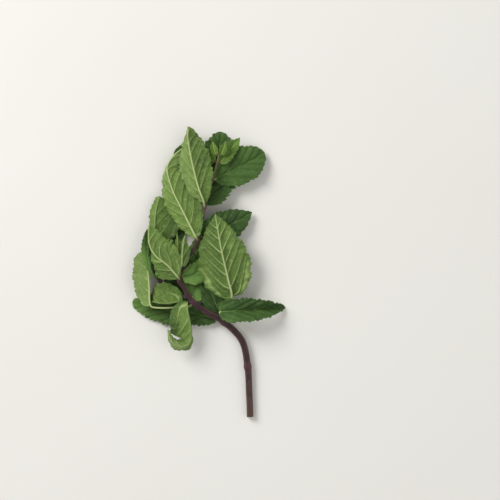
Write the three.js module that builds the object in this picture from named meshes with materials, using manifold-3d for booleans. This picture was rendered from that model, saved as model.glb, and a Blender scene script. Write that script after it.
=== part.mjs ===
// A cut sprig of garden mint, lying on a table as it falls when it is taken from its packet.
// Millimetres, +Z up. The sprig lies along Y: its cut end is towards -Y and its growing tip
// towards +Y. The origin is on the table, under the middle of the sprig.
//
// A square stem carries pairs of opposite leaves, each pair about a quarter turn from the
// next. Leaves on the near side of the stem fold over it and show their pale undersides;
// those on the far side lie beneath it with their dark upper faces up.

import * as THREE from "three";
import { mergeVertices } from "three/addons/utils/BufferGeometryUtils.js";
import Module from "manifold-3d";

const wasm = await Module();
wasm.setup();

// ---- Driving dimensions ----

const GAP = 0.3; // between the stem and a leaf stalk that grows from it
const BLADE = 0.6; // thickness of a leaf blade
const STALK = 0.95; // radius of the largest leaf's stalk
const STALK_SHARE = 0.4; // share of that radius that the narrowest leaf's stalk would have
const STALK_WIDTH = 50; // width of leaf that adds the whole radius to it
const STALK_EDGE = 0.5; // thickness of a stalk at its sides, as a share of its radius
const STALK_BELLY = 1.2; // how much thicker it is in the middle
const RIB_DEPTH = 0.75; // depth of a midrib under the blade's base, as a share of its stalk
const RIB_TIP = 0.3; // share of that depth that is left at the leaf's tip
const RIB_LIMIT = 0.4; // the most a midrib takes of a narrow half
const TIP_HALF = 0.5; // half the width of a blade's tip
const FULL = 0.55; // the lower, the fuller a blade is at both ends
const POINT = 0.3; // how pointed a blade's tip is
const WIDE_AT = 0.38; // where along its length a blade is widest
const LOBES = [0.07, 0.07]; // how far a blade's two base lobes reach back, in widths
const LOBE_REACH = 3; // how far along the blade they are felt
const ARCH = 0.06; // how far the middle of each half rises, as a share of the half's width
const TOOTH_PITCH = 4.4; // length of leaf edge taken by one tooth
const TOOTH_DEPTH = 0.09; // depth of a tooth, as a share of the leaf's half width
const TOOTH_LEAN = 0.5; // how far a tooth points forward, as a share of its pitch
const FEWEST_TEETH = 4;
const NODE_SWELL = 0.22; // how much thicker the stem is at a node, as a share of its width
const NODE_REACH = 1.8; // how far along the stem a node's swelling reaches
const FLAT_SHARE = 0.58; // the flat part of each side of the square stem
const STEM_STEPS = 4; // rings between two points of the stem
const SHOOT_STEPS = 3; // and of a shoot

const GREEN_UPPER = "#4b6b34";
const GREEN_UNDER = "#728a4e";
const GREEN_YOUNG = "#7f9a45";
const STEM_PURPLE = "#5c4340";

// The main stem from its cut end to its growing tip: the points that it passes through, and
// its width there. Leaves grow from the numbered nodes; those of the bare node are gone.
const STEM = {
  cut: { at: [24.5, -86, 2], width: 4 },
  foot: { at: [24, -73, 2], width: 4 },
  bare_node: { at: [23, -56, 2.5], width: 4, swollen: true },
  bend: { at: [19.5, -40.5, 3.7], width: 4 },
  node_1: { at: [9, -29.5, 5.5], width: 3.9, swollen: true },
  between_1_2: { at: [-0.5, -24, 6.6], width: 3.5 },
  node_2: { at: [-9, -18, 7.5], width: 3.2, swollen: true },
  between_2_3: { at: [-14.5, -9.5, 8.2], width: 2.6 },
  node_3: { at: [-17.5, -4, 8.6], width: 2.6, swollen: true },
  between_3_4: { at: [-13.5, 6, 9], width: 2.3 },
  node_4: { at: [-6.5, 19, 9.2], width: 2.3, swollen: true },
  node_5: { at: [-2.5, 38.5, 9.2], width: 2, swollen: true },
  node_6: { at: [2, 54.5, 9.2], width: 1.7, swollen: true },
  node_7: { at: [5, 64.5, 9.8], width: 1.4, swollen: true },
  tip: { at: [5.8, 68.5, 10.6], width: 1 },
  bud: { at: [6.2, 71, 11.1], width: 0.6 },
};

// Two shoots that grow from the axils of leaves. Each starts inside the main stem.
const SIDE_SHOOT = {
  root: { at: STEM.node_2.at, width: 1.8 },
  node_1: { at: [-15.5, -18.6, 5.8], width: 2, swollen: true },
  between_1_2: { at: [-23, -13, 3.8], width: 2 },
  node_2: { at: [-29, -5.5, 3.4], width: 1.9, swollen: true },
  between_2_3: { at: [-31.5, 5, 3.6], width: 1.6 },
  node_3: { at: [-31.5, 15.5, 4.4], width: 1.4, swollen: true },
  bud: { at: [-31.5, 18.5, 4.6], width: 0.8 },
};
const BUD_SHOOT = {
  root: { at: STEM.node_3.at, width: 1.2 },
  node_1: { at: [-16.5, 2, 11.5], width: 1.3, swollen: true },
  bud: { at: [-16.5, 5, 12.3], width: 0.8 },
};

// One leaf to an entry. It grows from the node `from`; its midrib follows the points of
// `stalk` and then of `blade`, and the blade begins at the stalk's last point. `width` is the
// blade's full width. `halves`, `roll`, `left` and `right` are values at even steps along the
// blade: by `halves` its left and right halves are made wider or narrower, `roll` turns it
// about its midrib, and is 0 with the upper face up and 180 with the underside up, and by
// `left` and `right` its halves fold. `full`, `point`, `wideAt` and `lobes` are as above.
const LEAVES = {
  leaf_1_left: {
    from: STEM.node_1, width: 17, full: 0.4, wideAt: 0.5, point: 0.05,
    roll: [0], left: [12], right: [12, 8, 4, 4],
    stalk: [[3.5, -28, 3.6]],
    blade: [[-7, -25, 1.6], [-26, -22.5, 0.8], [-45.5, -17.8, 0.4]],
  },
  leaf_1_right: {
    from: STEM.node_1, width: 15.5, full: 0.38, wideAt: 0.35, lobes: [0.1, 0.1],
    roll: [0], left: [6, 29, 38, 45], right: [6, 29, 38, 45],
    stalk: [[6.8, -25, 10.2], [7.4, -23.2, 11.4]],
    blade: [[16, -22.6, 12.6], [30, -21.8, 9], [45.5, -21, 0.4]],
  },
  leaf_1_axil: {
    from: STEM.node_1, width: 31, full: 0.5, lobes: [0, 0.08],
    roll: [180], left: [10], right: [10],
    stalk: [[12, -24, 7], [13.7, -14.2, 9.5]],
    blade: [[11.5, -4, 13], [7.5, 14, 15.5], [4, 34, 12]],
  },
  leaf_1_back: {
    from: STEM.node_1, width: 13, roll: [0], left: [2], right: [6],
    stalk: [[7.6, -25.8, 5.2]],
    blade: [[4.6, -20, 5.5], [0.8, -10, 5.3], [-0.8, 0.5, 4.5]],
  },
  leaf_2_low: {
    from: STEM.node_2, width: 25, full: 0.45, wideAt: 0.42, point: 0.5, lobes: [0.2, 0],
    halves: [[1.3, 1.15, 1.05, 1, 0.45, 0.5, 0.5, 0.4], [0.5, 0.5, 0.5, 0.45, 0.4, 0.36, 0.36, 0.36]],
    roll: [180], left: [8, 8, 12, 18, 18, 35, 42, 42],
    right: [128, 128, 115, 90, 60, 45, 35, 30],
    stalk: [[-10.9, -20, 8], [-12.4, -20.6, 11.6]],
    blade: [
      [-12.2, -24, 12.8], [-11, -30, 12], [-10.3, -36, 10.2], [-11.2, -41.5, 9.4],
      [-14.3, -43.9, 10.8], [-18.8, -43.3, 12.6], [-22.3, -39.4, 13.8], [-23.8, -33.3, 14.2],
    ],
  },
  leaf_2_back: {
    from: STEM.node_2, width: 19, full: 0.45, lobes: [0.1, 0.2],
    roll: [0], left: [8], right: [0],
    stalk: [[-9.4, -14, 4.9]],
    blade: [[-7.5, -6, 3.2], [-6.3, 7, 2.2], [-6, 22, 1.4]],
  },
  side_leaf_front: {
    from: SIDE_SHOOT.node_1, width: 19, halves: [[0.78], [1]], full: 0.3, wideAt: 0.5, point: 0,
    lobes: [0, 0.1], roll: [180], left: [130, 113, 105, 100], right: [12, 8, 8, 12],
    stalk: [[-19.5, -20.8, 6.6], [-31.8, -20.9, 8.2], [-34.7, -18.3, 8.8]],
    blade: [[-35.1, -8.5, 9.2], [-36, 2, 8.6], [-38.2, 12.6, 6.2]],
  },
  side_leaf_back: {
    from: SIDE_SHOOT.node_1, width: 25, halves: [[1, 1, 1, 1, 1, 1.5], [0.45]], full: 0.4,
    wideAt: 0.45, point: 0, roll: [180], left: [0], right: [132],
    stalk: [[-17.2, -17.3, 7.9]],
    blade: [[-25, -18.4, 9.5], [-31.9, -17.6, 8.9], [-34.9, -17, 5.2]],
  },
  side_leaf_middle: {
    from: SIDE_SHOOT.node_2, width: 12, halves: [[0.5], [0.95]], full: 0.5, wideAt: 0.6,
    roll: [0], left: [10], right: [-28],
    stalk: [[-31.2, -3.6, 7.4]],
    blade: [[-34.6, 2, 10.7], [-36.4, 11, 11], [-36.6, 19, 10.6], [-36.3, 25.5, 9.6]],
  },
  side_leaf_low: {
    from: SIDE_SHOOT.node_2, width: 12, full: 0.5, roll: [0], left: [6], right: [6],
    stalk: [[-26.4, -6.4, 3]],
    blade: [[-20, -8.4, 1.9], [-10.5, -10.4, 1.2]],
  },
  side_leaf_tip: {
    from: SIDE_SHOOT.node_3, width: 31, halves: [[1], [0.24]], full: 0.32, wideAt: 0.42, point: 0,
    roll: [180], left: [3, 3, 3, 6], right: [14],
    stalk: [[-32.3, 20.5, 5]],
    blade: [[-31.9, 27.5, 6.4], [-31.4, 35, 6.2], [-29.4, 44.8, 4.8]],
  },
  side_leaf_under: {
    from: SIDE_SHOOT.node_3, width: 17, full: 0.45, roll: [0], left: [2], right: [2],
    stalk: [[-29, 17.5, 3.4]],
    blade: [[-23, 24, 2.2], [-13.5, 34.5, 1.3]],
  },
  leaf_3_left: {
    from: STEM.node_3, width: 23.5, halves: [[1, 1, 1.1, 1.14, 1.1, 1], [1.3, 1.15, 0.52, 0.25, 0.25, 0.25]],
    full: 0.8, wideAt: 0.47, point: -0.3,
    roll: [180], left: [0, 0, 2, 6], right: [5, 10, 25, 80, 130, 130],
    stalk: [[-18.4, -2.6, 10.9]],
    blade: [[-24, 4, 13.6], [-30.9, 9.6, 14.6], [-34.8, 16.9, 13.9], [-35.2, 27.2, 11.2]],
  },
  leaf_3_right: {
    from: STEM.node_3, width: 13, full: 0.5, roll: [0], left: [8], right: [8],
    stalk: [[-15, -2.5, 8]],
    blade: [[-8.5, -1, 7], [7.5, 8.5, 5]],
  },
  bud_leaf_left: {
    from: BUD_SHOOT.node_1, width: 5.5, young: true, roll: [180], left: [20], right: [20],
    stalk: [[-17.2, 3.6, 8.8]],
    blade: [[-17.9, 11, 7.5], [-18.6, 22.4, 7.2]],
  },
  bud_leaf_right: {
    from: BUD_SHOOT.node_1, width: 9.5, roll: [180], left: [20], right: [65, 58],
    stalk: [[-15.9, 3.9, 12]],
    blade: [[-15.5, 10.1, 13], [-14.8, 17.3, 13.2], [-13.7, 21.4, 12.6]],
  },
  leaf_4_left: {
    from: STEM.node_4, width: 29, halves: [[0.9], [0.6]], full: 0.5, wideAt: 0.45, point: 0.3,
    roll: [180], left: [8, 4, 5, 6], right: [10, 14, 28, 55, 95, 125],
    stalk: [[-8.2, 22, 11]],
    blade: [
      [-14.4, 34.5, 12], [-21, 48, 11.4], [-24.4, 60, 10], [-22.6, 66, 9],
      [-18.6, 70.6, 8.2], [-13.8, 74, 7.4],
    ],
  },
  leaf_4_right: {
    from: STEM.node_4, width: 20, full: 0.5, roll: [0], left: [8], right: [8],
    stalk: [[-4, 21, 8.6]],
    blade: [[7.5, 25.5, 6.8], [25.5, 35.5, 3.5]],
  },
  leaf_5_front: {
    from: STEM.node_5, width: 22.5, halves: [[1], [0.9]], full: 0.5, wideAt: 0.5, point: 0,
    roll: [180], left: [10, 12, 14, 20], right: [30, 30, 35, 45, 60, 75],
    stalk: [[-3, 42, 14.5]],
    blade: [[-6.2, 51, 17], [-9.6, 65, 17.8], [-11.9, 77.5, 15.5], [-12.2, 85.7, 11.8]],
  },
  leaf_5_back: {
    from: STEM.node_5, width: 27, point: -0.05, roll: [0], left: [0], right: [8],
    stalk: [[-1.5, 41.5, 7]],
    blade: [[2.5, 54.5, 4], [5.5, 69.5, 1.4], [7, 83.5, 0.4]],
  },
  leaf_6_left: {
    from: STEM.node_6, width: 17, full: 0.4, wideAt: 0.55, point: 0,
    roll: [0], left: [8], right: [8],
    stalk: [[-1.4, 55.9, 8.4]],
    blade: [[-7.5, 62, 5.2], [-13.8, 68.6, 3.2], [-19.4, 73.4, 1.8]],
  },
  leaf_6_right: {
    from: STEM.node_6, width: 22, full: 0.45, wideAt: 0.5, point: 0.1,
    roll: [0], left: [8], right: [8],
    stalk: [[4.8, 55.4, 7.2]],
    blade: [[13.5, 60, 6.1], [23.5, 65.4, 5.7], [33, 71, 3.5]],
  },
  leaf_7_left: {
    from: STEM.node_7, width: 8, young: true, roll: [0], left: [15], right: [15],
    stalk: [[3, 65.5, 9.8]],
    blade: [[-0.5, 69, 9.6], [-2, 75, 8]],
  },
  leaf_7_right: {
    from: STEM.node_7, width: 9, young: true, roll: [0], left: [15], right: [15],
    stalk: [[7, 65, 9]],
    blade: [[12, 71.5, 9], [18.5, 79.5, 8]],
  },
  tip_leaf_left: {
    from: STEM.tip, width: 4.5, young: true, roll: [0], left: [25], right: [25],
    stalk: [[4.4, 69.5, 11.2]],
    blade: [[3, 73, 11.4], [2.4, 77, 10.6]],
  },
  tip_leaf_right: {
    from: STEM.tip, width: 4.5, young: true, roll: [0], left: [25], right: [25],
    stalk: [[7.4, 69.6, 11.8]],
    blade: [[8.8, 73, 13], [10, 77, 12.6]],
  },
};

// ---- Solids ----

const { lerp, clamp, degToRad } = THREE.MathUtils;
const UP = new THREE.Vector3(0, 0, 1);

// A solid through rings of points that all have the same count, an even one. Both halves of
// the rings are split into triangles alike, as the two faces of a blade have to be, and the
// ends are closed by strips across the ring.
function loft(rings) {
  const count = rings[0].length;
  const index = [];
  for (let ring = 0; ring < rings.length - 1; ring++) {
    for (let i = 0; i < count; i++) {
      const [a, b] = [ring * count + i, ring * count + ((i + 1) % count)];
      if (i < count / 2) index.push(a, b, a + count, b, b + count, a + count);
      else index.push(a, b, b + count, a, b + count, a + count);
    }
  }
  const last = (rings.length - 1) * count;
  for (let i = 0; i < count / 2 - 1; i++) {
    const [a, b, c, d] = [i, i + 1, count - 2 - i, count - 1 - i];
    index.push(a, d, b, b, d, c);
    index.push(last + a, last + b, last + d, last + b, last + c, last + d);
  }
  const vertices = rings.flat().flatMap((point) => point.toArray());
  const geometry = new THREE.BufferGeometry();
  geometry.setAttribute("position", new THREE.Float32BufferAttribute(vertices, 3));
  geometry.setIndex(index);
  const merged = mergeVertices(geometry, 1e-4);
  return new wasm.Manifold(
    new wasm.Mesh({
      numProp: 3,
      vertProperties: merged.attributes.position.array,
      triVerts: new Uint32Array(merged.index.array),
    }),
  );
}

function toGeometry(solid) {
  const mesh = solid.getMesh();
  const geometry = new THREE.BufferGeometry();
  geometry.setAttribute("position", new THREE.BufferAttribute(mesh.vertProperties, 3));
  geometry.setIndex(new THREE.BufferAttribute(mesh.triVerts, 1));
  geometry.computeVertexNormals();
  return geometry;
}

const curveThrough = (points) =>
  new THREE.CatmullRomCurve3(points.map((p) => new THREE.Vector3(...p)), false, "catmullrom", 0.5);

// The axes across a line that runs along `forward`: `side` is level, to its right.
function across(forward) {
  const side = new THREE.Vector3().crossVectors(forward, UP).normalize();
  return { side, over: new THREE.Vector3().crossVectors(side, forward) };
}

// ---- Stem ----

// A square stem with blunt corners along a route, swollen at its nodes, and thicker all round
// by `margin`. It rests on the table where it would sink into it.
function stemSolid(route, stepsBetween, margin = 0) {
  const points = Object.values(route);
  const line = curveThrough(points.map((p) => p.at));
  const spans = points.length - 1;
  const nodes = points.filter((p) => p.swollen).map((p) => new THREE.Vector3(...p.at));
  const rings = [];
  for (let step = 0; step <= spans * stepsBetween; step++) {
    const t = step / (spans * stepsBetween);
    const span = Math.min(Math.floor(t * spans), spans - 1);
    const forward = line.getTangent(t);
    const { side, over } = across(forward);
    const beyond = t === 0 ? -margin : t === 1 ? margin : 0;
    const centre = line.getPoint(t).addScaledVector(forward, beyond);
    const plain = lerp(points[span].width, points[span + 1].width, t * spans - span);
    const near = Math.min(...nodes.map((n) => n.distanceTo(centre)));
    const swelling = NODE_SWELL * Math.exp(-((near / NODE_REACH) ** 2));
    const half = (plain / 2) * (1 + swelling) + margin;
    centre.z = Math.max(centre.z, half - margin);
    const flat = half * FLAT_SHARE;
    const corners = [
      [-half, flat], [-flat, half], [flat, half], [half, flat],
      [half, -flat], [flat, -half], [-flat, -half], [-half, -flat],
    ];
    rings.push(
      corners.map(([u, v]) => centre.clone().addScaledVector(side, u).addScaledVector(over, v)),
    );
  }
  return loft(rings);
}

const wholeStem = (margin) =>
  stemSolid(STEM, STEM_STEPS, margin)
    .add(stemSolid(SIDE_SHOOT, SHOOT_STEPS, margin))
    .add(stemSolid(BUD_SHOOT, SHOOT_STEPS, margin));

// ---- Leaves ----

// The value at the share `v` of the way along values that are evenly spaced.
function evenly(values, v) {
  const place = v * (values.length - 1);
  const before = Math.min(Math.floor(place), Math.max(values.length - 2, 0));
  return lerp(values[before], values[before + 1] ?? values[before], place - before);
}

// The line of a stalk and midrib: its total length, the length of the stalk, and the curve.
function midrib(leaf) {
  const STEPS = 24;
  const points = [leaf.from.at, ...leaf.stalk, ...leaf.blade];
  const curve = curveThrough(points);
  const lengths = curve.getLengths(STEPS * (points.length - 1));
  curve.arcLengthDivisions = lengths.length - 1;
  return { curve, total: lengths.at(-1), stalk: lengths[STEPS * leaf.stalk.length] };
}

// A point of the upper face, `x` across the blade from its midrib, at the distance `s` along
// the line and raised by `rise`, and the point at `depth` beneath it. `back` moves both back
// along the line. A blade that would sink into the table lies on it instead.
function bladePoint(leaf, line, { s, x, depth, rise = 0, back = 0 }) {
  const share = clamp(s / line.total, 0, 1);
  const v = clamp((s - line.stalk) / (line.total - line.stalk), 0, 1);
  const forward = line.curve.getTangentAt(share);
  const { side, over } = across(forward);
  const roll = degToRad(evenly(leaf.roll, v));
  side.applyAxisAngle(forward, roll);
  over.applyAxisAngle(forward, roll);
  const fold = degToRad(evenly(x < 0 ? leaf.left : leaf.right, v)) * Math.sign(x);
  const outward = side.clone().multiplyScalar(Math.cos(fold)).addScaledVector(over, Math.sin(fold));
  const normal = over.clone().multiplyScalar(Math.cos(fold)).addScaledVector(side, -Math.sin(fold));
  const upper = line.curve.getPointAt(share).addScaledVector(outward, x);
  upper.addScaledVector(normal, rise).addScaledVector(forward, -back);
  const lower = upper.clone().addScaledVector(normal, -depth);
  const sunk = Math.max(0, -Math.min(upper.z, lower.z));
  upper.z += sunk;
  lower.z += sunk;
  return [upper, lower];
}

// The width of one half of the blade at a share `v` of its length: 0 is the left half.
function halfWidth(leaf, v, half) {
  const { width, halves = [[1], [1]], full = FULL, point = POINT, wideAt = WIDE_AT } = leaf;
  const skew = Math.log(0.5) / Math.log(wideAt);
  const share = evenly(halves[half], v);
  return (width / 2) * share * Math.sin(Math.PI * v ** skew) ** (full + point * v);
}

// One half of a ring across the blade, from its edge to its midrib.
function halfRing(leaf, line, v, half, rib, isTooth) {
  const length = line.total - line.stalk;
  const s = line.stalk + v * length;
  const towards = half === 0 ? -1 : 1;
  const wide = halfWidth(leaf, v, half);
  const lobe = (leaf.lobes ?? LOBES)[half] * leaf.width * Math.exp(-(v * length) / LOBE_REACH);
  const edge = wide * (1 + (isTooth ? TOOTH_DEPTH : -TOOTH_DEPTH) / 2);
  const lean = isTooth ? (TOOTH_LEAN * TOOTH_PITCH) / 2 : 0;
  return [
    { s, x: towards * edge, depth: BLADE, back: lobe - lean },
    { s, x: (towards * wide) / 2, depth: BLADE, rise: ARCH * wide, back: lobe / 4 },
    { s, x: towards * rib, depth: BLADE },
  ];
}

// A round stalk that opens into a blade with a toothed edge and a rib under its middle. Each
// ring runs over the upper face from left to right and back beneath it.
function leafSolid(leaf) {
  const COLUMNS = [-1, -0.8, -0.45, 0, 0.45, 0.8, 1];
  const line = midrib(leaf);
  const length = line.total - line.stalk;
  const radius = STALK * Math.min(1, STALK_SHARE + leaf.width / STALK_WIDTH);
  const rings = [];
  const ring = (columns) => {
    const points = columns.map((column) => bladePoint(leaf, line, column));
    rings.push([...points.map((p) => p[0]), ...points.reverse().map((p) => p[1])]);
  };

  const stalkSteps = leaf.stalk.length + 1;
  for (let i = 0; i <= stalkSteps; i++) {
    const s = (line.stalk * i) / stalkSteps;
    const depth = (u) => radius * (STALK_EDGE + STALK_BELLY * Math.sqrt(1 - u * u));
    ring(COLUMNS.map((u) => ({ s, x: radius * u, depth: depth(u) })));
  }
  const teeth = Math.max(FEWEST_TEETH, Math.round(length / TOOTH_PITCH));
  const steps = 2 * teeth + 1;
  for (let i = 1; i < steps; i++) {
    const v = i / steps;
    const narrow = Math.min(halfWidth(leaf, v, 0), halfWidth(leaf, v, 1));
    const rib = Math.min(radius * RIB_DEPTH * lerp(1, RIB_TIP, v), narrow * RIB_LIMIT);
    const [left, right] = [0, 1].map((half) => halfRing(leaf, line, v, half, rib, i % 2 === 0));
    ring([...left, { s: line.stalk + v * length, x: 0, depth: BLADE + rib }, ...right.reverse()]);
  }
  ring(COLUMNS.map((u) => ({ s: line.total, x: TIP_HALF * u, depth: BLADE })));
  return loft(rings);
}

// ---- The sprig ----

function piece(name, solid, color, roughness) {
  const material = new THREE.MeshStandardMaterial({ color, roughness, metalness: 0 });
  const mesh = new THREE.Mesh(toGeometry(solid), material);
  mesh.name = name;
  return mesh;
}

const sprig = new THREE.Group();
sprig.add(piece("stem", wholeStem(0), STEM_PURPLE, 0.6));

const stemWithGap = wholeStem(GAP);
for (const [name, leaf] of Object.entries(LEAVES)) {
  const isUnder = leaf.roll[0] === 180;
  const color = leaf.young ? GREEN_YOUNG : isUnder ? GREEN_UNDER : GREEN_UPPER;
  sprig.add(piece(name, leafSolid(leaf).subtract(stemWithGap), color, 0.65));
}

export default sprig;
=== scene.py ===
# A cut sprig of garden mint, lying on a pale table as it falls when it is taken from its
# packet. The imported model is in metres, +Z up; its origin is on the table under the middle
# of the sprig, whose growing tip points to +Y. Sizes below are millimetres times MM.

import math

import bpy
import numpy as np
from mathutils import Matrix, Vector


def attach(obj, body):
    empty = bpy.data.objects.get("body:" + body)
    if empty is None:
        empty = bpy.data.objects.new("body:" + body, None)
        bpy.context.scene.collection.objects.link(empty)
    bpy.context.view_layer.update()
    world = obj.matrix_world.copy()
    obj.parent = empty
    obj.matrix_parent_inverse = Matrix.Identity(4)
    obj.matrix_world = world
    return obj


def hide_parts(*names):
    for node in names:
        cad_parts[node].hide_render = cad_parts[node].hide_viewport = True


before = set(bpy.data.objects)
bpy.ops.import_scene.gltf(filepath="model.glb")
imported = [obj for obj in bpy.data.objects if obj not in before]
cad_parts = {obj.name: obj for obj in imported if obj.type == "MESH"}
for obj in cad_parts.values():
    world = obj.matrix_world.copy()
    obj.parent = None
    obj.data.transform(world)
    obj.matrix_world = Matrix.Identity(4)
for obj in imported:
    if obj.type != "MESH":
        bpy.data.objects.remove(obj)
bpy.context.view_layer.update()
MM = 0.001


# ---- Stem ----
# A mint stem is square, with a rib on each corner and a shallow trough on each face. It is
# juicy and tough, purple where the sun reached it and greener to the tip, and swells into a
# knee at each pair of leaves. It was cut with scissors, so its foot is flat and shows pith.

STEM_ROUTE = [  # place and width of the main stem, from its cut end to its growing tip
    ((24.5, -86, 2), 4), ((24, -73, 2), 4), ((23, -56, 2.5), 4),
    ((19.5, -40.5, 3.7), 4), ((9, -29.5, 5.5), 3.9), ((-0.5, -24, 6.6), 3.5),
    ((-9, -18, 7.5), 3.2), ((-14.5, -9.5, 8.2), 2.6), ((-17.5, -4, 8.6), 2.6),
    ((-13.5, 6, 9), 2.3), ((-6.5, 19, 9.2), 2.3), ((-2.5, 38.5, 9.2), 2),
    ((2, 54.5, 9.2), 1.7), ((5, 64.5, 9.8), 1.4), ((5.8, 68.5, 10.6), 1), ((6.2, 71, 11.1), 0.6),
]
SIDE_ROUTE = [  # of the side shoot
    ((-9, -18, 7.5), 1.8), ((-15.5, -18.6, 5.8), 2), ((-23, -13, 3.8), 2),
    ((-29, -5.5, 3.4), 1.9), ((-31.5, 5, 3.6), 1.6), ((-31.5, 15.5, 4.4), 1.4),
    ((-31.5, 18.5, 4.6), 0.8),
]
BUD_ROUTE = [  # of the bud in an axil
    ((-17.5, -4, 8.6), 1.2), ((-16.5, 2, 11.5), 1.3), ((-16.5, 5, 12.3), 0.8),
]
BARE_NODE, NODE_1, NODE_2, NODE_3, NODE_4, NODE_5, NODE_6, NODE_7 = (
    STEM_ROUTE[i][0] for i in (2, 4, 6, 8, 10, 11, 12, 13)
)
TIP = STEM_ROUTE[14][0]
SIDE_NODE_1, SIDE_NODE_2, SIDE_NODE_3 = (SIDE_ROUTE[i][0] for i in (1, 3, 5))
BUD_NODE = BUD_ROUTE[1][0]
SWOLLEN = [BARE_NODE, NODE_1, NODE_2, NODE_3, NODE_4, NODE_5, NODE_6, NODE_7]
SWOLLEN += [SIDE_NODE_1, SIDE_NODE_2, SIDE_NODE_3, BUD_NODE]

NODE_SWELL = 0.22  # how much thicker a node is
NODE_REACH = 1.8  # how far along the stem its swelling reaches
SQUARENESS = 3.4  # power of the section's rounded square
TROUGH = 0.07  # depth of the trough on each face, as a share of half the width
TROUGH_REACH = 0.35  # how far it reaches round the stem from the middle of a face, in radians
STEM_STEP = 0.35  # distance between the stem's rings
STEM_SIDES = 48  # number of quads round the stem
STEM_EDGE_ANGLE = 50  # the stem is shaded smooth over edges flatter than this
SKIN = 0.45  # thickness of the skin where the stem is cut
PITH_SUNK = 0.25  # how far the pith shrinks back from the cut
PITH_RIM = 0.5  # width of a ring of faces inside the edge of the pith
WELD = 0.001  # vertices closer than this are one
MAP_UNIT = 10  # length of stem or leaf that takes one unit of a UV map


def smooth_line(points, steps=160):
    """Places, directions and distances from the start on the smooth line through points."""
    p = np.array(points, float)
    padded = np.vstack([2 * p[0] - p[1], p, 2 * p[-1] - p[-2]])
    t = np.linspace(0, 1, steps, endpoint=False)[:, None]
    spans = []
    for before, start, end, after in zip(padded, padded[1:], padded[2:], padded[3:]):
        leave, arrive = (end - before) / 2, (after - start) / 2
        bend = 3 * (end - start) - 2 * leave - arrive
        twist = 2 * (start - end) + leave + arrive
        spans.append(start + leave * t + bend * t**2 + twist * t**3)
    places = np.vstack([*spans, p[-1:]])
    steps_long = np.linalg.norm(np.diff(places, axis=0), axis=1)
    distances = np.concatenate([[0], np.cumsum(steps_long)])
    return places, np.gradient(places, distances, axis=0), distances


def sample(values, distances, at):
    """Values along a line, read at the distances `at`."""
    return np.stack([np.interp(at, distances, values[:, k]) for k in range(3)], axis=-1)


def axes_across(forward):
    """Two axes across a line, level to its right and over it, and then its direction."""
    forward = forward / np.linalg.norm(forward, axis=-1, keepdims=True)
    side = np.cross(forward, (0, 0, 1.0))
    side /= np.linalg.norm(side, axis=-1, keepdims=True)
    return side, np.cross(side, forward), forward


def select_only(obj):
    """Makes an object the only one selected, and the active one."""
    bpy.ops.object.select_all(action="DESELECT")
    bpy.context.view_layer.objects.active = obj
    obj.select_set(True)


def add_grid(name, columns, rows):
    """A flat grid of quads, with its columns and rows of vertices."""
    bpy.ops.object.select_all(action="DESELECT")
    bpy.ops.mesh.primitive_grid_add(x_subdivisions=columns - 1, y_subdivisions=rows - 1, size=2)
    obj = bpy.context.object
    obj.name = obj.data.name = name
    return obj


def grid_places(obj):
    """Each vertex's place on its grid, from 0 to 1 across and along."""
    flat = np.empty(len(obj.data.vertices) * 3)
    obj.data.vertices.foreach_get("co", flat)
    flat = flat.reshape(-1, 3)
    return (flat[:, 0] + 1) / 2, (flat[:, 1] + 1) / 2


def put_vertices(obj, places):
    """Moves each vertex to its place, given in millimetres."""
    obj.data.vertices.foreach_set("co", (places * MM).ravel())
    obj.data.update()


def put_map(obj, name, u, v):
    """A UV map with a pair of values for each vertex."""
    layer = obj.data.uv_layers.get(name) or obj.data.uv_layers.new(name=name)
    corners = np.empty(len(obj.data.loops), int)
    obj.data.loops.foreach_get("vertex_index", corners)
    layer.data.foreach_set("uv", np.stack([u[corners], v[corners]], axis=1).ravel())


def close_tube(obj):
    """Joins the two edges of a rolled up grid and fills its ends."""
    select_only(obj)
    bpy.ops.object.mode_set(mode="EDIT")
    bpy.ops.mesh.select_mode(type="VERT")
    bpy.ops.mesh.select_all(action="SELECT")
    bpy.ops.mesh.remove_doubles(threshold=WELD * MM)
    bpy.ops.mesh.select_all(action="DESELECT")
    bpy.ops.mesh.select_non_manifold()
    bpy.ops.mesh.edge_face_add()
    bpy.ops.mesh.select_all(action="SELECT")
    bpy.ops.mesh.normals_make_consistent(inside=False)
    bpy.ops.object.mode_set(mode="OBJECT")


def stem_tube(name, route):
    """A square stem along a route, with its swollen nodes. It lies on the table, not in it."""
    places, directions, distances = smooth_line([at for at, width in route])
    obj = add_grid(name, STEM_SIDES + 1, int(distances[-1] / STEM_STEP) + 1)
    round_share, along = grid_places(obj)
    s = along * distances[-1]
    centre = sample(places, distances, s)
    side, over = axes_across(sample(directions, distances, s))[:2]
    per_span = (len(distances) - 1) // (len(route) - 1)
    plain = np.interp(s, distances[::per_span], [width for at, width in route])
    from_node = np.min(
        [np.linalg.norm(centre - np.array(node), axis=1) for node in SWOLLEN], axis=0
    )
    at_node = np.exp(-((from_node / NODE_REACH) ** 2))
    half = plain / 2 * (1 + NODE_SWELL * at_node)
    centre[:, 2] = np.maximum(centre[:, 2], half)
    turn = round_share * 2 * math.pi
    corners = np.abs(np.cos(turn)) ** SQUARENESS + np.abs(np.sin(turn)) ** SQUARENESS
    from_face = (turn + math.pi / 4) % (math.pi / 2) - math.pi / 4
    trough = TROUGH * np.exp(-((from_face / TROUGH_REACH) ** 2))
    radius = half * corners ** (-1 / SQUARENESS) * (1 - trough)
    to_side, to_top = radius * np.cos(turn), radius * np.sin(turn)
    put_vertices(obj, centre + side * to_side[:, None] - over * to_top[:, None])
    put_map(obj, "stem", round_share, s / distances[-1])
    put_map(obj, "node", at_node, s / MAP_UNIT)
    close_tube(obj)
    return obj


def linear(colour):
    """A colour written as #rrggbb, as the linear values that a shader takes."""
    values = [int(colour[i : i + 2], 16) / 255 for i in (1, 3, 5)]
    return (*[v / 12.92 if v <= 0.04045 else ((v + 0.055) / 1.055) ** 2.4 for v in values], 1)


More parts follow.
